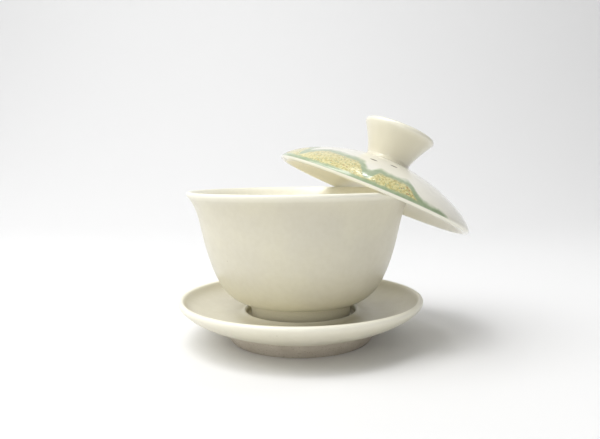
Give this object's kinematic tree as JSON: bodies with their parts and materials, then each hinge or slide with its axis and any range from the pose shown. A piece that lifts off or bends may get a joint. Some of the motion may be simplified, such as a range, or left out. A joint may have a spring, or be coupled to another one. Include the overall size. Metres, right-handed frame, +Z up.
{
  "type": "gaiwan",
  "caption": "Lidded tea bowl with a flared lip, standing on a raised saucer, its domed lid with a flared knob hooked over the lip.",
  "frame": {"origin": "middle of the saucer's foot, on the surface it stands on, under the bowl's axis", "axes": "+Z up along the axis of the bowl and the saucer, +X towards the side where the lid leans down, -Y towards the front"},
  "size_m": [0.1301, 0.1094, 0.0999],
  "materials": {
    "saucer_glaze": "satin ivory glaze",
    "saucer_foot_clay": "bare fired clay",
    "bowl_glaze": "satin ivory glaze",
    "bowl_foot_clay": "bare fired clay",
    "lid_glaze": "glossy cream glaze with celadon rim and speckled yellow panels",
    "knob_glaze": "glossy cream glaze"
  },
  "bodies": {
    "saucer": {"saucer": "saucer_glaze", "saucer_foot_ring": "saucer_foot_clay"},
    "bowl": {"bowl": "bowl_glaze", "bowl_foot_ring": "bowl_foot_clay"},
    "lid": {"lid": "lid_glaze", "lid_knob": "knob_glaze"}
  },
  "joints": [
    {"name": "bowl_lift", "type": "slide", "parent": "saucer", "child": "bowl", "axis": [0, 0, 1], "range_m": [0, 0.06]},
    {"name": "lid_lift", "type": "slide", "parent": "bowl", "child": "lid", "axis": [0, 0, 1], "range_m": [0, 0.08]}
  ]
}
